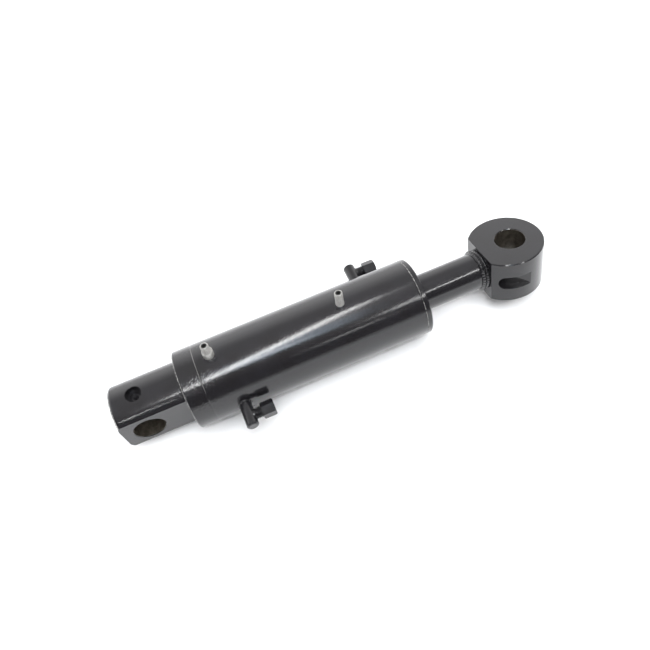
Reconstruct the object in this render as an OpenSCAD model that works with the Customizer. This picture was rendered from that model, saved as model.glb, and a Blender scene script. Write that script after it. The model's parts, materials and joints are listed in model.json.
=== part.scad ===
// Double-acting hydraulic cylinder with a flatted base lug and a turned rod eye.
// Origin: centre of the base pin bore. +X runs along the cylinder to the rod eye,
// +Y runs along the base pin and +Z points to the side with the two studs.
// It is drawn fully retracted.

/* [Barrel] */
// Outside diameter of the tube, the end cap's collar and the gland flange
tube_od = 80; // [79:0.5:84]
// Inside diameter of the tube
tube_bore = 63; // [62.5:0.1:63.5]
// Distance from the base pin to the tube's welded end
tube_start = 64; // [62:0.5:66]
// Distance from the base pin to the gland flange
tube_end = 287; // [285:0.5:289]

/* [Base lug] */
// Diameter of the turned lug
lug_od = 62.6; // [60:0.2:66]
// Width of the lug across its two flats
lug_width = 47; // [44:0.5:50]
// Diameter of the base pin bore
base_bore = 30.5; // [28:0.1:32]
// Distance from the base pin to the lug's free end
lug_end = 25.5; // [24:0.5:30]
// Distance from the base pin to the collar
collar_start = 43.5; // [42:0.5:46]

/* [Gland] */
// Width of the gland flange
flange_width = 5.4; // [4:0.2:8]
// Number of pin spanner holes in the gland's end face
spanner_holes = 4; // [2:1:6]

/* [Rod and eye] */
// Diameter of the piston rod
rod_d = 38; // [37.6:0.1:38.2]
// Distance between the two pins when the cylinder is retracted
pin_to_pin = 401; // [400:0.5:404]
// Travel of the rod
stroke = 120; // [100:1:120]
// Diameter of the eye's round outline
eye_od = 75.6; // [73:0.2:80]
// Width of the eye along its pin
eye_width = 49; // [46:0.5:52]
// Diameter of the rod eye's pin bore
eye_bore = 30; // [28:0.1:31]
// How far the rod is turned in the barrel, in degrees
rod_turn = -12; // [-90:1:90]

/* [Ports and studs] */
// Diameter of the round bar of each port fitting
port_d = 12.2; // [11:0.1:13]
// How far each port fitting stands out of the tube
port_height = 25; // [22:0.5:30]
// Place of the base port along the cylinder
base_port_x = 92; // [90:0.5:94]
// Place of the rod port along the cylinder
rod_port_x = 245; // [244:0.5:246]
// Width across flats of the hex caps
cap_flats = 14; // [13:0.5:15]
// Thread diameter of the studs
stud_d = 8; // [6:0.5:10]
// How far the studs stand out of the tube
stud_height = 17.7; // [14:0.1:22]
// Places of the two studs: along the cylinder, then across it
stud_places = [[78.8, 1.9], [212, 0]];

/* [Hidden] */
$fn = 96;

paint = [0.045, 0.045, 0.05];
steel = [0.62, 0.63, 0.65];
zinc = [0.72, 0.73, 0.74];
bronze = [0.72, 0.52, 0.25];
rubber = [0.08, 0.08, 0.09];
polymer = [0.16, 0.30, 0.55];
nylon = [0.85, 0.83, 0.76];

// Gaps: fixed is between pieces that don't move, running is a sliding or turning fit
// and free is the room left where nothing should touch.
fixed = 0.05;
running = 0.06;
free = 0.5;
over = 1;

tube_r = tube_od / 2;
bore_r = tube_bore / 2;
lug_r = lug_od / 2;
rod_r = rod_d / 2;
port_r = port_d / 2;
stud_r = stud_d / 2;

// Welded joint between the end cap and the tube
weld_half = 1.2;
weld_depth = 3;
spigot_end = tube_start + 13;

// Grease recess in the lug and the nipple in it
recess_r = 8;
recess_floor = 23;
step_r = 6;
step_floor = 21;
nipple_r = 3;
nipple_head_r = 4.5;
nipple_head = 1.6;

// Piston, rod end and nut
rod_tip = spigot_end + 0.8;
nut_start = rod_tip + 2.2;
nut_width = 14;
piston_start = nut_start + nut_width;
piston_width = 26;
piston_end = piston_start + piston_width;
piston_r = bore_r - free;
spigot_r = 12;
groove_floor_r = 26;
seal_width = 8;
wear_width = 5;
wear_floor_r = 29;

// Gland
gland_end = tube_end + flange_width;
gland_start = piston_end + stroke + 0.5;
gland_body_start = rod_port_x + 7;
nose_r = 26;
gland_r = bore_r - fixed;
rod_gap_r = rod_r + 0.3;
bush_start = gland_start + 2.5;
bush_width = 15;
bush_r = rod_r + 2.5;
rod_seal_start = bush_start + bush_width + 4;
rod_seal_width = 8;
rod_seal_r = rod_r + 5.5;
wiper_width = 8.4;
wiper_start = gland_end - wiper_width;
wiper_r = rod_r + 4.5;
oring_start = gland_body_start + 10;
oring_groove = 6.2;
oring_floor_r = bore_r - 3.1;
oring_section_r = 1.5;

// Rod eye: the round outline's centre lies a little inside the pin bore's
eye_r = eye_od / 2;
eye_x = pin_to_pin - 5.1;
chord = 29.75;
chord_x = eye_x - chord;
edge = 0.8;
eye_spigot_r = 10;
eye_spigot_length = 10;
rod_end = chord_x;
neck_start = rod_end - 7.6;

// Grease slot milled into the eye's side
slot_angle = 31;
slot_r = 7.8;
slot_floor = 28.5;
slot_start = 1.3;
slot_nipple_r = 4.6;
grease_hole_r = 2;

// Port fittings
port_root_r = tube_r - 5.8;
port_end_r = tube_r + port_height;
port_passage_r = 2.5;
stub_r = 5.75;
stub_level = port_end_r - 11.5;
stub_length = 21;
cap_start = 12.5;
cap_length = 13;
cap_wall = 2.8;
port_hole_r = 4;

// Each stud's wider root: the base stud stands in a tall collar, the other in a low one
stud_roots = [[7.5, stud_r + 1.4], [1.5, stud_r + 0.3]];
stud_depth = 4;
socket_flats = 4;
socket_depth = 5;

// A solid turned about the cylinder's axis, from points of [x, radius]
module turned(points) {
    rotate([0, 90, 0])
        rotate_extrude()
            polygon([for (p = points) [p[1], p[0]]]);
}

module rod_along_x(start, end, r) {
    translate([start, 0, 0])
        rotate([0, 90, 0])
            cylinder(h = end - start, r = r);
}

module ring_along_x(start, end, outer_r, inner_r) {
    turned([[start, inner_r], [end, inner_r], [end, outer_r], [start, outer_r]]);
}

// A hole along Y with a small countersink at each end
module pin_hole_y(r, width) {
    rotate([90, 0, 0])
        cylinder(h = width + 2 * over, r = r, center = true);
    for (side = [0, 180])
        rotate([0, 0, side])
            translate([0, width / 2 - edge, 0])
                rotate([-90, 0, 0])
                    cylinder(h = 2 * edge, r1 = r, r2 = r + 2 * edge);
}

// A hexagon along X with a point up, its corners taken off by a turned chamfer
module hex_along_x(start, end, flats) {
    corner_r = flats / sqrt(3);
    intersection() {
        translate([start, 0, 0])
            rotate([0, 90, 0])
                cylinder(h = end - start, r = corner_r, $fn = 6);
        turned([[start, 0], [start, flats / 2], [start + 0.8, corner_r + 0.1],
                [end - 0.8, corner_r + 0.1], [end, flats / 2], [end, 0]]);
    }
}

// ---- Barrel ----

module barrel_tube() {
    color(paint)
        difference() {
            turned([[tube_start, bore_r], [tube_end, bore_r], [tube_end, tube_r - 0.4],
                    [tube_end - 0.4, tube_r], [tube_start + weld_half, tube_r],
                    [tube_start, tube_r - weld_depth]]);
            port_drilling(base_port_x, -90);
            port_drilling(rod_port_x, 90);
            for (i = [0, 1])
                translate([stud_places[i][0], stud_places[i][1], tube_r - stud_depth - fixed])
                    cylinder(h = stud_depth + over, r = stud_roots[i][1] + fixed);
        }
}

// The stepped hole under one port fitting
module port_drilling(x, turn) {
    at_port(x, turn) {
        translate([0, 0, bore_r - over])
            cylinder(h = tube_r, r = port_hole_r);
        translate([0, 0, port_root_r - fixed])
            cylinder(h = tube_r, r = port_r + fixed);
    }
}

module base_end_cap() {
    color(paint)
        difference() {
            union() {
                intersection() {
                    turned([[-lug_end, 0], [-lug_end, lug_r - 3.6], [-lug_end + 0.6, lug_r - 2.3],
                            [-lug_end + 2.2, lug_r - 0.7], [-lug_end + 3.6, lug_r],
                            [collar_start - 1.5, lug_r], [collar_start, lug_r + 1.5],
                            [collar_start + over, lug_r + 1.5], [collar_start + over, 0]]);
                    translate([-lug_end - over, -lug_width / 2, -tube_r])
                        cube([lug_end + collar_start + 3 * over, lug_width, tube_od]);
                }
                turned([[collar_start, 0], [collar_start, tube_r - 2.2],
                        [collar_start + 0.5, tube_r - 1], [collar_start + 1.6, tube_r],
                        [tube_start - weld_half, tube_r], [tube_start, tube_r - weld_depth],
                        [tube_start, bore_r - fixed], [spigot_end - 1, bore_r - fixed],
                        [spigot_end, bore_r - 1.2], [spigot_end, 0]]);
            }
            pin_hole_y(base_bore / 2, lug_width);
            translate([0, 0, recess_floor])
                cylinder(h = lug_r, r = recess_r);
            translate([0, 0, step_floor])
                cylinder(h = lug_r, r = step_r);
            cylinder(h = lug_r, r = nipple_r + fixed);
        }
}

module base_ring_weld() {
    color(paint)
        turned([[tube_start, tube_r - weld_depth], [tube_start + weld_half, tube_r],
                [tube_start - weld_half, tube_r]]);
}

// A flush grease nipple with its funnel mouth at z = 0, pointing up
module grease_nipple(stem_length) {
    difference() {
        union() {
            translate([0, 0, -stem_length])
                cylinder(h = stem_length - nipple_head + 0.1, r = nipple_r);
            translate([0, 0, -nipple_head])
                cylinder(h = nipple_head - 0.5, r = nipple_head_r);
            translate([0, 0, -0.5])
                cylinder(h = 0.5, r1 = nipple_head_r, r2 = nipple_head_r - 0.5);
        }
        translate([0, 0, -2])
            cylinder(h = 2.1, r1 = 0.8, r2 = 3);
        translate([0, 0, -stem_length - over])
            cylinder(h = stem_length, r = 0.9);
    }
}

module base_grease_nipple() {
    color(paint)
        translate([0, 0, step_floor + nipple_head])
            grease_nipple(5.4);
}

module gland_head() {
    color(paint)
        difference() {
            turned([[gland_start, rod_gap_r], [gland_start, nose_r - 1], [gland_start + 1, nose_r],
                    [gland_body_start, nose_r], [gland_body_start, gland_r - 1],
                    [gland_body_start + 1, gland_r], [oring_start, gland_r],
                    [oring_start, oring_floor_r], [oring_start + oring_groove, oring_floor_r],
                    [oring_start + oring_groove, gland_r], [tube_end, gland_r],
                    [tube_end, tube_r - 0.4], [tube_end + 0.4, tube_r], [gland_end - 1, tube_r],
                    [gland_end, tube_r - 1], [gland_end, wiper_r], [wiper_start, wiper_r],
                    [wiper_start, rod_gap_r], [rod_seal_start + rod_seal_width, rod_gap_r],
                    [rod_seal_start + rod_seal_width, rod_seal_r], [rod_seal_start, rod_seal_r],
                    [rod_seal_start, rod_gap_r], [bush_start + bush_width, rod_gap_r],
                    [bush_start + bush_width, bush_r], [bush_start, bush_r],
                    [bush_start, rod_gap_r]]);
            for (i = [0 : spanner_holes - 1])
                rotate([45 + i * 360 / spanner_holes, 0, 0])
                    translate([0, 0, (tube_r + wiper_r) / 2])
                        rod_along_x(gland_end - 8, gland_end + over, 3.5);
        }
}

module gland_oring() {
    color(rubber)
        translate([oring_start + 2, 0, 0])
            rotate([0, 90, 0])
                rotate_extrude()
                    translate([(oring_floor_r + bore_r) / 2, 0])
                        circle(r = oring_section_r, $fn = 32);
}

module gland_backup_ring() {
    color(nylon)
        ring_along_x(oring_start + 4, oring_start + 5.8, bore_r - fixed, oring_floor_r + fixed);
}

module rod_guide_bush() {
    color(bronze)
        ring_along_x(bush_start + fixed, bush_start + bush_width - fixed,
                     bush_r - fixed, rod_r + running);
}

// Lip seal with its lips towards the pressure side
module rod_seal() {
    color(polymer)
        turned([[rod_seal_start + 0.6, rod_r + running],
                [rod_seal_start + rod_seal_width - 0.1, rod_r + running],
                [rod_seal_start + rod_seal_width - 0.1, rod_seal_r - fixed],
                [rod_seal_start + 0.6, rod_seal_r - fixed],
                [rod_seal_start + 3.6, rod_r + 2.9], [rod_seal_start + 3.6, rod_r + 2.4]]);
}

module rod_wiper() {
    color(polymer)
        turned([[wiper_start + 0.1, rod_r + 1], [wiper_start + 4, rod_r + 1],
                [gland_end + 0.9, rod_r + running], [gland_end + 1.3, rod_r + 0.6],
                [gland_end, rod_r + 3.2], [gland_end, wiper_r - fixed],
                [wiper_start + 0.1, wiper_r - fixed]]);
}

// ---- Port fittings ----

// Stands a fitting on the tube: its own Z points outwards
module at_port(x, turn) {
    translate([x, 0, 0])
        rotate([-turn, 0, 0])
            children();
}

module port_body() {
    difference() {
        union() {
            translate([0, 0, port_root_r])
                cylinder(h = port_end_r - port_root_r - 1.6, r = port_r);
            translate([0, 0, port_end_r - 1.6])
                cylinder(h = 1, r1 = port_r, r2 = port_r - 0.7);
            translate([0, 0, port_end_r - 0.6])
                cylinder(h = 0.6, r1 = port_r - 0.7, r2 = port_r - 1.8);
        }
        translate([0, 0, port_root_r - over])
            cylinder(h = stub_level - port_root_r + over, r = port_passage_r);
        translate([0, 0, stub_level])
            rod_along_x(0, port_d, port_passage_r);
    }
}

module port_weld() {
    difference() {
        translate([0, 0, tube_r - 2])
            cylinder(h = 3.6, r1 = port_r + 2.4, r2 = port_r + 0.5);
        translate([0, 0, tube_r - 2 - over])
            cylinder(h = 6, r = port_r + 0.02);
        rod_along_x(-port_d, port_d, tube_r + 0.02, $fn = 720);
    }
}

module port_stub() {
    difference() {
        translate([0, 0, stub_level]) {
            rod_along_x(3, stub_length - 1, stub_r);
            translate([stub_length - 1, 0, 0])
                rotate([0, 90, 0])
                    cylinder(h = 1, r1 = stub_r, r2 = stub_r - 0.8);
        }
        translate([0, 0, stub_level - 2 * stub_r])
            cylinder(h = 4 * stub_r, r = port_r + 0.02);
        translate([0, 0, stub_level])
            rod_along_x(0, stub_length + over, port_passage_r);
    }
}

module port_cap() {
    translate([0, 0, stub_level])
        difference() {
            rotate([90, 0, 0])
                hex_along_x(cap_start, cap_start + cap_length, cap_flats);
            rod_along_x(cap_start - over, cap_start + cap_length - cap_wall, stub_r + fixed);
        }
}

module port_cap_seal() {
    translate([0, 0, stub_level])
        ring_along_x(stub_length + fixed, cap_start + cap_length - cap_wall - fixed,
                     stub_r - 0.5, port_passage_r);
}

module base_port_body() {
    color(paint)
        at_port(base_port_x, -90)
            port_body();
}

module base_port_weld() {
    color(paint)
        at_port(base_port_x, -90)
            port_weld();
}

module base_port_stub() {
    color(paint)
        at_port(base_port_x, -90)
            port_stub();
}

module base_port_cap() {
    color(paint)
        at_port(base_port_x, -90)
            port_cap();
}

module base_port_cap_seal() {
    color(nylon)
        at_port(base_port_x, -90)
            port_cap_seal();
}

module rod_port_body() {
    color(paint)
        at_port(rod_port_x, 90)
            port_body();
}

module rod_port_weld() {
    color(paint)
        at_port(rod_port_x, 90)
            port_weld();
}

module rod_port_stub() {
    color(paint)
        at_port(rod_port_x, 90)
            port_stub();
}

module rod_port_cap() {
    color(paint)
        at_port(rod_port_x, 90)
            port_cap();
}

module rod_port_cap_seal() {
    color(nylon)
        at_port(rod_port_x, 90)
            port_cap_seal();
}

// ---- Studs ----

module clamp_studs() {
    color(zinc)
        for (i = [0, 1])
            translate([stud_places[i][0], stud_places[i][1], tube_r])
                stud(stud_roots[i][0], stud_roots[i][1]);
}

// A stud with a hex socket in its end, standing in a collar
module stud(root_height, root_r) {
    difference() {
        union() {
            translate([0, 0, -stud_depth])
                cylinder(h = stud_depth + root_height - 0.4, r = root_r);
            translate([0, 0, root_height - 0.4])
                cylinder(h = 0.4, r1 = root_r, r2 = max(root_r - 0.4, stud_r));
            translate([0, 0, -stud_depth])
                cylinder(h = stud_depth + stud_height - 0.8, r = stud_r);
            translate([0, 0, stud_height - 0.8])
                cylinder(h = 0.8, r1 = stud_r, r2 = stud_r - 0.8);
        }
        translate([0, 0, stud_height - socket_depth])
            cylinder(h = socket_depth + over, r = socket_flats / sqrt(3), $fn = 6);
        translate([0, 0, stud_height - 0.4])
            cylinder(h = 0.5, r1 = socket_flats / 2, r2 = socket_flats / 2 + 0.6);
    }
}

module stud_welds() {
    color(paint)
        for (i = [0, 1])
            stud_weld(stud_places[i], stud_roots[i][1]);
}

module stud_weld(place, root_r) {
    difference() {
        translate([place[0], place[1], tube_r - 1])
            cylinder(h = 2.3, r1 = root_r + 2, r2 = root_r + 0.5);
        translate([place[0], place[1], tube_r - 2])
            cylinder(h = 5, r = root_r + 0.03);
        rod_along_x(place[0] - port_d, place[0] + port_d, tube_r + 0.02, $fn = 720);
    }
}

// ---- Piston and rod ----

module piston() {
    seal_start = piston_start + (piston_width - seal_width) / 2;
    seal_end = seal_start + seal_width;
    wear_a = piston_start + 2.2;
    wear_b = piston_end - 2.2 - wear_width;
    color(steel)
        turned([[piston_start, spigot_r + fixed], [piston_start, piston_r - 1.5],
                [piston_start + 1.5, piston_r], [wear_a, piston_r], [wear_a, wear_floor_r],
                [wear_a + wear_width, wear_floor_r], [wear_a + wear_width, piston_r],
                [seal_start, piston_r], [seal_start, groove_floor_r],
                [seal_end, groove_floor_r], [seal_end, piston_r], [wear_b, piston_r],
                [wear_b, wear_floor_r], [wear_b + wear_width, wear_floor_r],
                [wear_b + wear_width, piston_r], [piston_end - 1, piston_r],
                [piston_end, piston_r - 1], [piston_end, spigot_r + fixed],
                [piston_start + 15, spigot_r + fixed], [piston_start + 15, spigot_r + 2.2],
                [piston_start + 11.6, spigot_r + 2.2], [piston_start + 11.6, spigot_r + fixed]]);
}

module piston_seal() {
    middle = piston_start + piston_width / 2;
    half = seal_width / 2 - 0.1;
    color(polymer)
        turned([[middle - half, groove_floor_r + running], [middle + half, groove_floor_r + running],
                [middle + half, bore_r - 1], [middle + half - 1, bore_r - running],
                [middle - half + 1, bore_r - running], [middle - half, bore_r - 1]]);
}

module piston_wear_rings() {
    color(nylon)
        for (start = [piston_start + 2.2, piston_end - 2.2 - wear_width])
            ring_along_x(start + 0.1, start + wear_width - 0.1, bore_r - running,
                         wear_floor_r + running);
}

module piston_oring() {
    color(rubber)
        translate([piston_start + 13.3, 0, 0])
            rotate([0, 90, 0])
                rotate_extrude()
                    translate([spigot_r + 1.1, 0])
                        circle(r = 1.02, $fn = 32);
}

module piston_nut() {
    color(steel)
        difference() {
            hex_along_x(nut_start, piston_start, 36);
            rod_along_x(nut_start - over, piston_start + over, spigot_r + fixed);
        }
}

module piston_rod() {
    color(paint)
        turned([[rod_tip, 0], [rod_tip, spigot_r - 1.5], [rod_tip + 1.5, spigot_r],
                [piston_end, spigot_r], [piston_end, rod_r - 1], [piston_end + 1, rod_r],
                [rod_end, rod_r], [rod_end, eye_spigot_r],
                [rod_end + eye_spigot_length - 1, eye_spigot_r],
                [rod_end + eye_spigot_length, eye_spigot_r - 1], [rod_end + eye_spigot_length, 0]]);
}

// Two weld runs round the rod where it meets the eye
module rod_eye_weld() {
    inner_r = rod_r + 0.03;
    color(paint)
        turned([[neck_start, inner_r], [neck_start + 0.2, rod_r + 1.4],
                [neck_start + 1, rod_r + 2.4], [neck_start + 2.4, rod_r + 2.8],
                [neck_start + 4, rod_r + 2.6], [neck_start + 4.8, rod_r + 1.7],
                [neck_start + 5.4, rod_r + 1.9], [neck_start + 6.2, rod_r + 2.4],
                [rod_end, rod_r + 2.5], [rod_end, inner_r]]);
}

module rod_eye() {
    half = eye_width / 2;
    color(paint)
        rotate([rod_turn, 0, 0])
            translate([eye_x, 0, 0])
                difference() {
                    intersection() {
                        rotate_extrude()
                            polygon([[0, -half], [eye_r - edge, -half], [eye_r, -half + edge],
                                     [eye_r, half - edge], [eye_r - edge, half], [0, half]]);
                        translate([-chord, -eye_od, -eye_od])
                            cube([2 * eye_od, 2 * eye_od, 2 * eye_od]);
                    }
                    translate([pin_to_pin - eye_x, 0, 0])
                        rotate([90, 0, 0])
                            pin_hole_y(eye_bore / 2, eye_width);
                    rod_along_x(-chord - over, -chord + eye_spigot_length + fixed,
                                eye_spigot_r + fixed);
                    in_slot() {
                        grease_slot();
                        translate([0, 0, -nipple_head])
                            cylinder(h = slot_floor, r = slot_nipple_r);
                        translate([0, 0, -slot_floor / 2])
                            cylinder(h = slot_floor, r = grease_hole_r);
                        translate([0, 0, -7])
                            cylinder(h = 8, r = nipple_r + fixed);
                    }
                }
}

// Puts Z along the slot's milling direction, with z = 0 on its floor and X along the slot
module in_slot() {
    rotate([0, 0, -slot_angle])
        translate([slot_start, -slot_floor, 0])
            rotate([90, 0, 0])
                children();
}

module grease_slot() {
    cylinder(h = eye_r, r = slot_r);
    translate([0, -slot_r, 0])
        cube([eye_r, 2 * slot_r, eye_r]);
}

module eye_grease_nipple() {
    color(paint)
        rotate([rod_turn, 0, 0])
            translate([eye_x, 0, 0])
                in_slot()
                    grease_nipple(6.5);
}

barrel_tube();
base_end_cap();
base_ring_weld();
gland_head();
gland_oring();
gland_backup_ring();
rod_guide_bush();
rod_seal();
rod_wiper();
base_port_body();
base_port_weld();
base_port_stub();
base_port_cap();
base_port_cap_seal();
rod_port_body();
rod_port_weld();
rod_port_stub();
rod_port_cap();
rod_port_cap_seal();
clamp_studs();
stud_welds();
base_grease_nipple();
piston_seal();
piston_wear_rings();
piston();
piston_oring();
piston_nut();
piston_rod();
rod_eye_weld();
rod_eye();
eye_grease_nipple();
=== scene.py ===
"""Looks for the hydraulic cylinder: enamel, zinc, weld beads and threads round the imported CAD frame."""
import json
import math

import bmesh
import bpy
from mathutils import Matrix, Quaternion, Vector


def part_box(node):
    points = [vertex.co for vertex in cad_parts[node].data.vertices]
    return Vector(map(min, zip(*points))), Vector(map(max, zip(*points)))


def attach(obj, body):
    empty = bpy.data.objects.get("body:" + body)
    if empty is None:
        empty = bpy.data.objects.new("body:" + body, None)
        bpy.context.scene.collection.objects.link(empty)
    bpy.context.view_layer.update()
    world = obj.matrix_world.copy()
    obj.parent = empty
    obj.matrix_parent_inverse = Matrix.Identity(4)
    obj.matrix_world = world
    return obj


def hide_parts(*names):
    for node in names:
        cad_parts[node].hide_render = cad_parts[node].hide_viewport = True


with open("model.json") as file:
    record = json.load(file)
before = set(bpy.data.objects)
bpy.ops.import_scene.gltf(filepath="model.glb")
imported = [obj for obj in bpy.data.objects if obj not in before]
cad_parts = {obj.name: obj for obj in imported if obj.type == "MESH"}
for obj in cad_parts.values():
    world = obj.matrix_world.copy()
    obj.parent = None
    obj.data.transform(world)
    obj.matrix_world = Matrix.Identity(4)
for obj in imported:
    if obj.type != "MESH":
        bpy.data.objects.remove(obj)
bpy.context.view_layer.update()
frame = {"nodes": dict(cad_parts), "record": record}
NODES = frame["nodes"]
MM = 0.001

# Sizes, taken from the frame
tube_lo, tube_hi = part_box("barrel_tube")
TUBE_R = (tube_hi.z - tube_lo.z) / 2
rod_lo, rod_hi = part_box("piston_rod")
ROD_R = (rod_hi.z - rod_lo.z) / 2
base_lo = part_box("base_end_cap")[0]
eye_weld_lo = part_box("rod_eye_weld")[0]
seam_lo, seam_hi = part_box("base_ring_weld")
studs_lo, studs_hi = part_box("clamp_studs")
FLOOR_Z = -TUBE_R
FLOOR_HALF = 1.5
MOUNTS = {m["name"]: m for m in frame["record"]["mounts"]}

# Places along the cylinder, in mm from the base pin
SEAM_X = (seam_lo.x + seam_hi.x) / 2 / MM
COLLAR_X = 43.5  # where the lug meets the end cap's collar
LONG_AXIS = {"pos_m": (0, 0, 0), "axis": (1, 0, 0)}  # the cylinder's own axis, in a mount's form

# The collars that the studs stand in, in mm: the base stud's is the wider one
COLLAR_R = {"base_clamp_stud": 5.4, "rod_clamp_stud": 4.3}


# ---- Mesh helpers ----

def grid_object(name, rows, closed_rows=False):
    """A mesh from rows of points, each row a closed ring. closed_rows joins the last row to the
    first; otherwise both ends are capped."""
    segments = len(rows[0])
    points = [tuple(p) for row in rows for p in row]
    faces = []
    count = len(rows) if closed_rows else len(rows) - 1
    for i in range(count):
        a, b = i * segments, ((i + 1) % len(rows)) * segments
        for j in range(segments):
            k = (j + 1) % segments
            faces.append((a + j, a + k, b + k, b + j))
    if not closed_rows:
        faces.append(tuple(range(segments))[::-1])
        faces.append(tuple(range((len(rows) - 1) * segments, len(rows) * segments)))
    mesh = bpy.data.meshes.new(name)
    mesh.from_pydata(points, [], faces)
    mesh.validate()
    return mesh


def add_piece(name, meshes, body, material, sharp=35):
    """Joins the meshes into one piece that rides on a body."""
    joined = bmesh.new()
    for mesh in meshes:
        joined.from_mesh(mesh)
    bmesh.ops.recalc_face_normals(joined, faces=joined.faces)
    out = bpy.data.meshes.new(name)
    joined.to_mesh(out)
    joined.free()
    for polygon in out.polygons:
        polygon.use_smooth = True
    out.set_sharp_from_angle(angle=math.radians(sharp))
    piece = bpy.data.objects.new(name, out)
    bpy.context.scene.collection.objects.link(piece)
    out.materials.append(material)
    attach(piece, body)
    return piece


def turn(i, n):
    return 2 * math.pi * i / n


def wave(angle, lobes, seed):
    """A weld's uneven ripple from -1 to 1: lobes round the turn, with a slow drift."""
    drift = 0.6 * math.sin(3 * angle + seed) + 0.4 * math.sin(7 * angle + 2.3 * seed)
    return 0.75 * math.sin(lobes * angle + 0.9 * drift) + 0.25 * drift


def ring_rows(profile, segments, place, ripple=None):
    """Rows for a ring: each profile point (a, r, k) turned about an axis. k scales the ripple, which
    gives a change of (a, r) at each angle. place turns (a, r, angle) into a point."""
    rows = []
    for a, r, k in profile:
        row = []
        for j in range(segments):
            angle = turn(j, segments)
            da, dr = ripple(angle) if ripple else (0, 0)
            row.append(place(a + k * da, r + k * dr, angle))
        rows.append(row)
    return rows


def about_x(a, r, angle):
    return Vector((a, -r * math.sin(angle), r * math.cos(angle))) * MM


# ---- Materials ----

class Nodes:
    """Short names for building one node tree."""

    def __init__(self, tree):
        self.tree = tree
        tree.nodes.clear()

    def add(self, kind, inputs=None, **settings):
        node = self.tree.nodes.new(kind)
        for key, value in settings.items():
            setattr(node, key, value)
        for key, value in (inputs or {}).items():
            if isinstance(value, bpy.types.NodeSocket):
                self.tree.links.new(value, node.inputs[key])
            else:
                node.inputs[key].default_value = value
        return node

    def noise(self, coords, scale, detail=2.0, roughness=0.5):
        node = self.add("ShaderNodeTexNoise", {"Vector": coords, "Scale": scale,
                                                "Detail": detail, "Roughness": roughness})
        return node.outputs["Fac"]

    def span(self, value, low, high, to_low=0.0, to_high=1.0):
        node = self.add("ShaderNodeMapRange", {"Value": value, "From Min": low, "From Max": high,
                                                "To Min": to_low, "To Max": to_high})
        return node.outputs["Result"]

    def math(self, operation, a, b):
        node = self.add("ShaderNodeMath", {0: a, 1: b}, operation=operation)
        return node.outputs[0]

    def mix(self, factor, a, b):
        node = self.add("ShaderNodeMix", {"Factor": factor, 6: a, 7: b}, data_type="RGBA")
        return node.outputs[2]

    def bump(self, height, strength, distance, normal=None):
        inputs = {"Height": height, "Strength": strength, "Distance": distance}
        if normal is not None:
            inputs["Normal"] = normal
        return self.add("ShaderNodeBump", inputs).outputs["Normal"]


def new_material(name):
    material = bpy.data.materials.new(name)
    material.use_nodes = True
    n = Nodes(material.node_tree)
    coords = n.add("ShaderNodeTexCoord").outputs["Object"]
    return material, n, coords


def radius_about(n, coords, mount):
    """Distance from a bore's axis, in metres."""
    centre, axis = mount["pos_m"], mount["axis"]
    apart = n.add("ShaderNodeVectorMath", {0: coords, 1: centre}, operation="SUBTRACT").outputs[0]
    across = n.add("ShaderNodeVectorMath", {0: apart, 1: axis}, operation="CROSS_PRODUCT").outputs[0]
    return n.add("ShaderNodeVectorMath", {0: across}, operation="LENGTH").outputs["Value"]


def near_x(n, coords, x, half_width, soft):
    """1 within half_width of a plane across the cylinder, fading over soft. All in mm."""
    along = n.add("ShaderNodeSeparateXYZ", {"Vector": coords}).outputs["X"]
    apart = n.math("ABSOLUTE", n.math("SUBTRACT", along, x * MM), 0.0)
    return n.span(apart, half_width * MM, (half_width + soft) * MM, 1.0, 0.0)


def finish_material(n, shader):
    n.add("ShaderNodeOutputMaterial", {"Surface": shader.outputs[0]})


PAINT_DARK, PAINT_LIGHT = (0.0088, 0.0082, 0.0090, 1), (0.0108, 0.0104, 0.0122, 1)
OIL_DARK, OIL_LIGHT = (0.040, 0.034, 0.026, 1), (0.085, 0.075, 0.060, 1)
DUST_SPECK = (0.10, 0.098, 0.095, 1)
# Painted highlight: the light line in the seam groove
SEAM_HIGHLIGHT_LINE = (0.17, 0.165, 0.16, 1)
# Light flecks at edges: chipped paint, also standing in for edge glints as painted highlight
BARE_EDGE_AND_GLINT = (0.62, 0.61, 0.58, 1)


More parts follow.
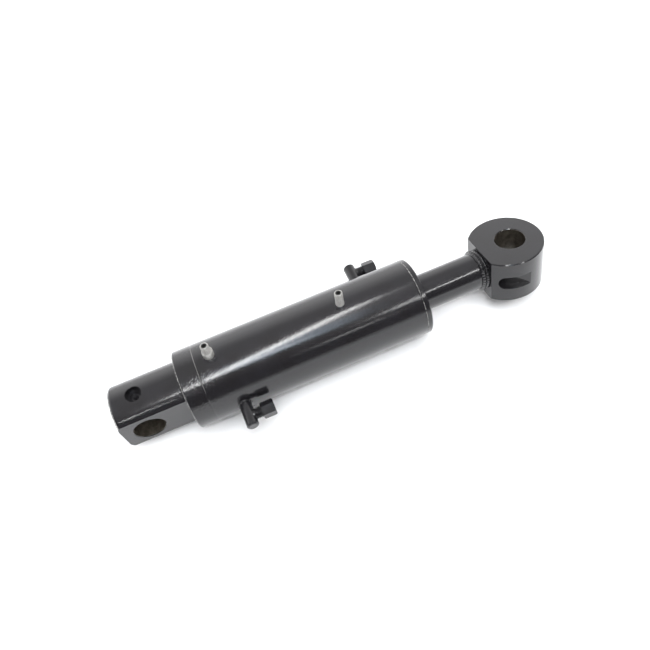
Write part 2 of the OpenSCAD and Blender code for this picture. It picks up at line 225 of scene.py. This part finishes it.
def enamel(name, edge_radius=0.35, peel=0.12, bore=None, rough_at=None, highlight_line_at=None, worn_and_glint_at=None):
    """Gloss black enamel: orange peel, a faint haze and dust, and rounded paint edges. Lengths are in mm.
    bore is a mount whose bore is left bare and oiled.
    rough_at lists planes (x, half width) where weld spatter shows through the paint.
    A groove at (x, half width) can get a painted highlight: a light grey line along it, kept to the top
    of the tube where the light catches it.
    Edges (x, half width, inner radius) may get chipped paint, whose light flecks also serve as painted
    glints along the edge."""
    material, n, coords = new_material(name)
    haze = n.noise(coords, 38, 3, 0.55)
    dust = n.noise(coords, 2600, 2, 0.6)
    speck = n.span(dust, 0.70, 0.78)
    tint = n.mix(n.span(haze, 0.35, 0.65), PAINT_DARK, PAINT_LIGHT)
    colour = n.mix(n.math("MULTIPLY", speck, 0.25), tint, DUST_SPECK)
    rough = n.math("ADD", n.span(haze, 0.3, 0.7, 0.12, 0.21), n.math("MULTIPLY", speck, 0.15))
    metal = None
    # Painted highlight along the seam groove, faded in only near the top of the tube
    if highlight_line_at:
        broken = n.span(haze, 0.3, 0.5, 0.5, 0.9)
        line = n.math("MULTIPLY", near_x(n, coords, *highlight_line_at, 0.15), broken)
        high = n.add("ShaderNodeSeparateXYZ", {"Vector": coords}).outputs["Z"]
        line = n.math("MULTIPLY", line, n.span(high, 27 * MM, 34 * MM))
        colour = n.mix(line, colour, SEAM_HIGHLIGHT_LINE)
    # Chipped paint at these edges; its light flecks are also painted glints
    for x, half_width, inner_r in worn_and_glint_at or []:
        flakes = n.span(n.noise(coords, 700, 3, 0.7), 0.46, 0.58)
        rim = n.span(radius_about(n, coords, LONG_AXIS), (inner_r - 0.2) * MM, inner_r * MM)
        edge = near_x(n, coords, x, half_width, 0.2)
        chips_and_glints = n.math("MULTIPLY", edge, n.math("MULTIPLY", flakes, rim))
        colour = n.mix(chips_and_glints, colour, BARE_EDGE_AND_GLINT)
    if bore:
        out = radius_about(n, coords, bore)
        r = bore["dims"]["r_mm"]
        bare = n.span(out, (r + 0.12) * MM, (r + 0.3) * MM, 1.0, 0.0)
        smear = n.span(n.noise(coords, 160, 3, 0.6), 0.35, 0.65)
        oil = n.mix(smear, OIL_DARK, OIL_LIGHT)
        colour = n.mix(bare, colour, oil)
        rough = n.math("ADD", rough, n.math("MULTIPLY", bare, 0.16))
        metal = n.math("MULTIPLY", bare, 0.55)
    rounded = n.add("ShaderNodeBevel", {"Radius": edge_radius * MM}, samples=4).outputs["Normal"]
    coarse = n.bump(n.noise(coords, 620, 2, 0.5), peel, 0.4 * MM, rounded)
    normal = n.bump(n.noise(coords, 1600, 2, 0.5), peel, 0.1 * MM, coarse)
    for x, half_width in rough_at or []:
        cells = n.add("ShaderNodeTexVoronoi", {"Vector": coords, "Scale": 420.0}).outputs["Distance"]
        drops = n.span(cells, 0.08, 0.42, 1.0, 0.0)
        spatter = n.math("MULTIPLY", drops, near_x(n, coords, x, half_width, 5.0))
        normal = n.bump(spatter, 0.4, 0.2 * MM, normal)
    inputs = {"Base Color": colour, "Roughness": rough, "Normal": normal,
              "IOR": 1.5, "Specular IOR Level": 0.38,
              "Coat Weight": 0.35, "Coat Roughness": 0.05, "Coat IOR": 1.5, "Coat Normal": normal}
    if metal is not None:
        inputs["Metallic"] = metal
    finish_material(n, n.add("ShaderNodeBsdfPrincipled", inputs))
    return material


def zinc_plate(name):
    """Dull, scuffed zinc plating on the studs, with painted shade darkening their sockets."""
    material, n, coords = new_material(name)
    mottle = n.noise(coords, 700, 3, 0.7)
    colour = n.mix(n.span(mottle, 0.35, 0.65), (0.25, 0.245, 0.235, 1), (0.52, 0.51, 0.49, 1))
    reach = [radius_about(n, coords, MOUNTS[stud]) for stud in ("base_clamp_stud", "rod_clamp_stud")]
    # Painted shade: dark colour and less metal inside each stud's hex socket
    socket = n.span(n.math("MINIMUM", *reach), 2.5 * MM, 3.1 * MM, 1.0, 0.0)
    colour = n.mix(socket, colour, (0.03, 0.03, 0.028, 1))
    rough = n.span(mottle, 0.3, 0.7, 0.36, 0.55)
    grain = n.bump(n.noise(coords, 1500, 3, 0.6), 0.4, 0.3 * MM)
    metal = n.math("SUBTRACT", 0.75, n.math("MULTIPLY", socket, 0.7))
    shader = n.add("ShaderNodeBsdfPrincipled", {
        "Base Color": colour, "Roughness": rough, "Metallic": metal, "Normal": grain})
    finish_material(n, shader)
    return material


def turned_metal(name, light, dark, roughness, metallic=1.0):
    """Metal turned on a lathe: fine rings along X."""
    material, n, coords = new_material(name)
    rings = n.add("ShaderNodeTexWave", {"Vector": coords, "Scale": 900.0, "Distortion": 1.2,
                                         "Detail": 2.0}, bands_direction="X").outputs["Fac"]
    patch = n.noise(coords, 120, 3, 0.5)
    colour = n.mix(n.span(patch, 0.3, 0.7), light, dark)
    rough = n.span(patch, 0.3, 0.7, roughness, roughness + 0.12)
    shader = n.add("ShaderNodeBsdfPrincipled", {
        "Base Color": colour, "Roughness": rough, "Metallic": metallic,
        "Normal": n.bump(rings, 0.12, 0.05 * MM)})
    finish_material(n, shader)
    return material


def moulded(name, light, dark, roughness, grain):
    """A moulded seal or plastic ring: slight mottling and a fine grain."""
    material, n, coords = new_material(name)
    patch = n.noise(coords, 240, 3, 0.55)
    colour = n.mix(n.span(patch, 0.35, 0.65), light, dark)
    rough = n.span(patch, 0.3, 0.7, roughness, roughness + 0.1)
    shader = n.add("ShaderNodeBsdfPrincipled", {
        "Base Color": colour, "Roughness": rough,
        "Normal": n.bump(n.noise(coords, 3000, 2, 0.5), grain, 0.05 * MM)})
    finish_material(n, shader)
    return material


ENAMEL = enamel("gloss_black_enamel", peel=0.05)
# The lug's end edge and collar edge get light flecks: chipped paint and painted glints
ENAMEL_LUG = enamel("gloss_black_enamel_base_lug", bore=MOUNTS["base_pin_bore"],
                    rough_at=[(SEAM_X - 5, 6), (COLLAR_X - 1, 1.5)],
                    worn_and_glint_at=[(base_lo.x / MM, 1.6, 28.6), (COLLAR_X, 0.7, 39.0)])
ENAMEL_EYE = enamel("gloss_black_enamel_rod_eye", edge_radius=0.6, bore=MOUNTS["rod_eye_bore"])
ENAMEL_TUBE = enamel("gloss_black_enamel_tube", peel=0.17, rough_at=[(SEAM_X, 9)])
# Light flecks at the gland joint: chipped paint, also a painted highlight line
ENAMEL_GLAND = enamel("gloss_black_enamel_gland", worn_and_glint_at=[(tube_hi.x / MM, 0.2, 39.2)])
# The seam groove carries a painted highlight line
ENAMEL_SEAM = enamel("gloss_black_enamel_seam", edge_radius=0.1, highlight_line_at=(SEAM_X - 0.5, 0.2))
ENAMEL_SMALL = enamel("gloss_black_enamel_small_parts", edge_radius=0.3)
ENAMEL_WELD = enamel("gloss_black_enamel_on_weld", edge_radius=0.1, peel=0.9)
ZINC = zinc_plate("dull_zinc_plating")
STEEL = turned_metal("turned_steel", (0.46, 0.46, 0.47, 1), (0.36, 0.36, 0.37, 1), 0.22)
BRONZE = turned_metal("turned_bronze", (0.62, 0.40, 0.17, 1), (0.50, 0.31, 0.13, 1), 0.26)
URETHANE = moulded("blue_polyurethane", (0.035, 0.085, 0.26, 1), (0.028, 0.07, 0.21, 1), 0.38, 0.1)
NYLON = moulded("natural_nylon", (0.72, 0.69, 0.60, 1), (0.66, 0.62, 0.53, 1), 0.42, 0.08)
NITRILE = moulded("black_nitrile", (0.012, 0.012, 0.012, 1), (0.018, 0.018, 0.018, 1), 0.5, 0.15)

MATERIAL_OF = {
    ENAMEL: ["piston_rod"],
    ENAMEL_GLAND: ["gland_head"],
    ENAMEL_TUBE: ["barrel_tube"],
    ENAMEL_LUG: ["base_end_cap"],
    ENAMEL_SEAM: ["base_ring_weld"],
    ENAMEL_EYE: ["rod_eye"],
    ENAMEL_SMALL: ["base_port_body", "base_port_stub", "base_port_cap", "rod_port_body",
                   "rod_port_stub", "rod_port_cap", "base_grease_nipple", "eye_grease_nipple"],
    ENAMEL_WELD: ["base_port_weld", "rod_port_weld", "stud_welds", "rod_eye_weld"],
    ZINC: ["clamp_studs"],
    STEEL: ["piston", "piston_nut"],
    BRONZE: ["rod_guide_bush"],
    URETHANE: ["rod_seal", "rod_wiper", "piston_seal"],
    NYLON: ["gland_backup_ring", "base_port_cap_seal", "rod_port_cap_seal", "piston_wear_rings"],
    NITRILE: ["gland_oring", "piston_oring"],
}
for material, names in MATERIAL_OF.items():
    for name in names:
        NODES[name].data.materials.clear()
        NODES[name].data.materials.append(material)


# ---- Weld beads, threads and studs ----

def eye_weld():
    """Two rippled runs round the rod, in the length and radius of the CAD weld."""
    start = eye_weld_lo.x / MM
    rod = ROD_R / MM
    shape = [(0.0, -0.3, 0), (0.1, 0.5, 0.4), (0.5, 1.5, 0.8), (1.2, 2.2, 1), (2.1, 2.55, 1),
             (3.0, 2.5, 1), (3.8, 2.0, 1), (4.4, 1.2, 0.6), (4.8, 0.8, 0.2), (5.1, 1.0, 0.3),
             (5.6, 1.6, 0.8), (6.3, 2.1, 1), (7.0, 2.1, 0.8), (7.6, 1.7, 0), (7.6, -0.3, 0)]
    profile = [(start + a, rod + r, k) for a, r, k in shape]

    def ripple(angle):
        return 0.2 * wave(angle, 38, 0.7), 0.32 * wave(angle, 38, 2.1)
    mesh = grid_object("eye_weld", ring_rows(profile, 336, about_x, ripple), closed_rows=True)
    piece = add_piece("rod_eye_weld_bead", [mesh], "rod", ENAMEL_WELD, sharp=60)
    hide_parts("rod_eye_weld")


def seam_weld():
    """The ground-flush weld between end cap and tube, with a fine groove left at its base side."""
    top = TUBE_R / MM
    shape = [(-1.2, top - 0.16, 0), (-1.0, top - 0.34, 0.5), (-0.6, top - 0.30, 1),
             (-0.35, top - 0.08, 1), (0.1, top - 0.03, 0.4), (0.8, top - 0.02, 0.3),
             (1.2, top - 0.02, 0), (0.0, top - 2.8, 0)]
    profile = [(SEAM_X + a, r, k) for a, r, k in shape]

    def ripple(angle):
        return 0.05 * wave(angle, 90, 1.3), 0.015 * wave(angle, 90, 0.2)
    mesh = grid_object("seam", ring_rows(profile, 540, about_x, ripple), closed_rows=True)
    piece = add_piece("base_seam_weld_bead", [mesh], "barrel", ENAMEL_SEAM, sharp=50)
    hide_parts("base_ring_weld")


def bead_on_tube(name, x, across, turned_by, ring_r, bead_r, lobes, seed, sink=0.35):
    """A round bead where a bar of radius ring_r stands on the tube, at x along it and off the
    centre line by across. turned_by turns it from the top of the tube, in degrees."""
    tube = TUBE_R / MM
    stand = Quaternion((1, 0, 0), math.radians(turned_by))
    rows = []
    section, around = 14, 144
    for i in range(section):
        lean = turn(i, section)
        row = []
        for j in range(around):
            angle = turn(j, around)
            swell = 1 + 0.10 * wave(angle, lobes, seed)
            out = ring_r + 0.25 * bead_r + bead_r * swell * math.cos(lean)
            u, v = out * math.cos(angle), across + out * math.sin(angle)
            ground = math.sqrt(tube ** 2 - min(abs(v), tube) ** 2)
            height = ground + bead_r * (swell * math.sin(lean) - sink)
            row.append(stand @ (Vector((x + u, v, height)) * MM))
        rows.append(row)
    return grid_object(name, rows, closed_rows=True)


def port_welds():
    """The bead round the root of each port body."""
    for side, turned_by in (("base", 90), ("rod", -90)):
        lo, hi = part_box(side + "_port_body")
        x = (lo.x + hi.x) / 2 / MM
        bar_r = (hi.x - lo.x) / 2 / MM
        mesh = bead_on_tube(side + "_port_bead", x, 0, turned_by, bar_r, 1.5, 17, 1.0 + turned_by)
        piece = add_piece(side + "_port_weld_bead", [mesh], "barrel", ENAMEL_WELD,
                          sharp=60)
        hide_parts(side + "_port_weld")


def lathe_z(name, centre, rows_at, segments=72):
    """A solid round Z. rows_at lists (height, radius), a radius being a number or a function of
    the angle."""
    rows = []
    for height, radius in rows_at:
        row = []
        for j in range(segments):
            angle = turn(j, segments)
            r = radius(angle) if callable(radius) else radius
            x, y = centre[0] + r * math.cos(angle), centre[1] + r * math.sin(angle)
            row.append(Vector((x, y, height)) * MM)
        rows.append(row)
    return grid_object(name, rows)


def thread_rows(start, end, crest, depth, pitch, step=0.11):
    """Rows of a 60 degree thread: its depth runs out at both ends."""
    rows = []
    count = int((end - start) / step)
    for i in range(count + 1):
        height = start + (end - start) * i / count
        fade = min(1, (height - start) / (0.6 * pitch), (end - height) / (0.4 * pitch))

        def radius(angle, height=height, fade=fade):
            phase = (height / pitch + angle / (2 * math.pi)) % 1
            groove = min(1, max(0, 1.25 * (1 - abs(2 * phase - 1)) - 0.12))
            return crest - depth * groove * fade
        rows.append((height, radius))
    return rows


def hexagon(flats):
    def radius(angle):
        return flats / 2 / math.cos((angle + math.pi / 6) % (math.pi / 3) - math.pi / 6)
    return radius


def studs():
    """Both studs with M8 threads, a chamfered end and a hex socket; the base stud has a tall collar."""
    top = studs_hi.z / MM
    low = studs_lo.z / MM
    meshes = []
    for name, collar_r in COLLAR_R.items():
        mount = MOUNTS[name]
        x, y, z = (v / MM for v in mount["pos_m"])
        r = mount["dims"]["r_mm"]
        shoulder = z - mount["dims"]["length_mm"] / 2
        rows = [(low, collar_r), (shoulder - 0.5, collar_r), (shoulder - 0.1, collar_r - 0.25),
                (shoulder, max(collar_r - 0.7, r - 0.2)), (shoulder, r - 0.3)]
        rows += thread_rows(shoulder + 0.1, top - 0.9, r, 0.5, 1.25)
        rows += [(top - 0.05, 3.25), (top, 3.1), (top, 2.75), (top - 0.35, hexagon(4.1)),
                 (top - 5, hexagon(4)), (top - 5.8, 0.6)]
        meshes.append(lathe_z(name, (x, y), rows))
    piece = add_piece("threaded_studs", meshes, "barrel", ZINC, sharp=32)
    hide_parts("clamp_studs")


def stud_welds():
    """A thin bead round the foot of each stud's collar."""
    meshes = []
    for name, seed in (("base_clamp_stud", 0.4), ("rod_clamp_stud", 1.9)):
        x, y = (v / MM for v in MOUNTS[name]["pos_m"][:2])
        ring_r = COLLAR_R[name] + 0.35
        meshes.append(bead_on_tube(name + "_bead", x, y, 0, ring_r, 1.0, 13, seed, sink=0.55))
    piece = add_piece("stud_weld_beads", meshes, "barrel", ENAMEL_WELD, sharp=60)
    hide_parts("stud_welds")


def port_stubs():
    """The threaded stubs that the hex caps screw on to, M12 with a fine thread."""
    for side in ("base", "rod"):
        lo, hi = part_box(side + "_port_stub")
        y, r = (lo.y + hi.y) / 2 / MM, (hi.z - lo.z) / 2 / MM
        start, end = lo.x / MM, hi.x / MM
        rows = [(start, r - 0.6), (start + 2.2, r - 0.6)]
        rows += thread_rows(start + 2.3, end - 1, r, 0.75, 1.5, step=0.14)
        rows += [(end - 0.05, r - 0.85), (end, r - 1), (end, 2.5), (start + 1, 2.5)]
        mesh = lathe_z(side + "_stub", (0, 0), rows)
        lay_down = Matrix.Rotation(math.pi / 2, 4, "Y")
        mesh.transform(Matrix.Translation(Vector((0, y, 0)) * MM) @ lay_down)
        piece = add_piece(side + "_port_stub_threaded", [mesh], "barrel",
                          ENAMEL_SMALL, sharp=32)
        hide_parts(side + "_port_stub")


eye_weld()
seam_weld()
port_welds()
studs()
stud_welds()
port_stubs()


# ---- Floor, light and camera ----

def add_floor():
    mesh = bpy.data.meshes.new("studio_floor")
    s = FLOOR_HALF
    corners = [(-s, -s, FLOOR_Z), (s, -s, FLOOR_Z), (s, s, FLOOR_Z), (-s, s, FLOOR_Z)]
    mesh.from_pydata(corners, [], [(0, 1, 2, 3)])
    floor = bpy.data.objects.new("studio_floor", mesh)
    bpy.context.scene.collection.objects.link(floor)
    material, n, _ = new_material("white_sweep")
    shader = n.add("ShaderNodeBsdfPrincipled", {"Base Color": (0.86, 0.86, 0.865, 1), "Roughness": 0.85,
                                                 "Specular IOR Level": 0.2})
    finish_material(n, shader)
    mesh.materials.append(material)


def panel(name, centre, along, length, width, radiance, colour=(1, 1, 1), glossy=True, look=None):
    """A rectangular lamp of a given radiance, its length along a direction in the ceiling. It faces
    down, or the point look. glossy=False keeps it out of the reflections."""
    light = bpy.data.lights.new(name, "AREA")
    light.shape = "RECTANGLE"
    light.size, light.size_y = length, width
    light.energy = radiance * math.pi * length * width
    light.color = colour
    lamp = bpy.data.objects.new(name, light)
    bpy.context.scene.collection.objects.link(lamp)
    x = Vector((along[0], along[1], 0)).normalized()
    if look is None:
        z = Vector((0, 0, 1))
    else:
        z = (Vector(centre) - Vector(look)).normalized()
        x = (x - x.dot(z) * z).normalized()
    y = z.cross(x)
    lamp.matrix_world = Matrix.Translation(centre) @ Matrix((x, y, z)).transposed().to_4x4()
    lamp.visible_glossy = glossy
    lamp.visible_camera = False
    return lamp


def add_world():
    """A dome that is bright behind the cylinder and dim in front, plain white to the camera."""
    world = bpy.data.worlds.new("studio")
    bpy.context.scene.world = world
    world.use_nodes = True
    n = Nodes(world.node_tree)
    direction = n.add("ShaderNodeTexCoord").outputs["Generated"]
    parts = n.add("ShaderNodeSeparateXYZ", {"Vector": direction}).outputs
    behind = n.add("ShaderNodeValToRGB", {"Fac": parts["Z"]})
    set_ramp(behind, [(0.0, 1.55), (0.35, 1.75), (0.55, 1.45), (0.80, 0.80), (1.0, 0.80)])
    front = n.add("ShaderNodeValToRGB", {"Fac": parts["Z"]})
    set_ramp(front, [(0.0, 1.5), (0.05, 1.4), (0.08, 0.10), (0.60, 0.12), (0.80, 0.45), (1.0, 0.80)])
    side = n.span(parts["Y"], -0.30, 0.25)
    dome = n.mix(side, front.outputs["Color"], behind.outputs["Color"])
    seen = n.add("ShaderNodeLightPath").outputs["Is Camera Ray"]
    colour = n.mix(seen, dome, (1.0, 1.0, 1.0, 1))
    background = n.add("ShaderNodeBackground", {"Color": colour, "Strength": 1.0})
    n.add("ShaderNodeOutputWorld", {"Surface": background.outputs[0]})


def set_ramp(node, stops):
    """Sets a colour ramp to stops of (place, grey value), a touch bluer than grey."""
    elements = node.color_ramp.elements
    while len(elements) > 1:
        elements.remove(elements[-1])
    for i, (place, value) in enumerate(stops):
        element = elements[0] if i == 0 else elements.new(place)
        element.position = place
        element.color = (value, value, value * 1.01, 1)


def add_camera():
    """Aims at a point on the cylinder from an azimuth and elevation, rolled about the line of sight."""
    aim = Vector((194.98, 8.75, 0)) * MM
    distance = 638.39 * MM
    azimuth, elevation, roll = math.radians(-11.736), math.radians(57.507), math.radians(12.484)
    back = Vector((math.sin(azimuth) * math.cos(elevation),
                   -math.cos(azimuth) * math.cos(elevation), math.sin(elevation)))
    level = back.to_track_quat("Z", "Y")
    data = bpy.data.cameras.new("camera")
    data.sensor_width = 36
    data.lens = 34.776
    data.clip_start, data.clip_end = 0.01, 60
    camera = bpy.data.objects.new("camera", data)
    bpy.context.scene.collection.objects.link(camera)
    camera.rotation_mode = "QUATERNION"
    camera.rotation_quaternion = Quaternion(back, -roll) @ level
    camera.location = aim + back * distance
    bpy.context.scene.camera = camera


add_floor()
add_world()
# Ceiling lamps seen in the gloss: two parallel strips, a fainter far one, a thin low one, and a
# bluish panel with a brighter window in it. The three fills light the floor and aren't reflected.
CEILING = 1.5
STRIP = Vector((0.54, 0.84))
panel("strip_over_barrel", (0.141, -0.388, CEILING), STRIP, 1.28, 0.09, 31.0)
panel("strip_over_rod", (1.0, -0.97, CEILING), STRIP, 1.12, 0.085, 26.0)
panel("far_strip", (0.58, -2.18, CEILING), (1, 0), 0.32, 0.12, 14.0)
panel("low_strip", (-0.445, -1.51, CEILING), (0.86, 0.5), 0.24, 0.02, 80.0)
panel("sky_panel", (0.22, -0.62, CEILING + 0.05), (1, 0), 0.50, 0.62, 3.2, (0.68, 0.84, 1.0))
panel("bright_window", (0.15, -0.72, CEILING + 0.04), (1, 0), 0.18, 0.15, 12.0, (0.86, 0.93, 1.0))
panel("back_fill", (0.2, 1.6, 1.4), (1, 0), 2.4, 1.6, 0.4, glossy=False, look=(0.2, 0, 0))
panel("front_fill", (0.2, -0.80, 1.5), (1, 0), 2.4, 0.36, 5.6, glossy=False, look=(0.2, 0, 0))
panel("top_fill", (0.2, 0.0, 1.7), (1, 0), 1.8, 1.8, 1.4, glossy=False)
add_camera()

scene = bpy.context.scene
scene.view_settings.view_transform = "Standard"
scene.view_settings.look = "None"
scene.view_settings.exposure = 0
scene.view_settings.gamma = 1
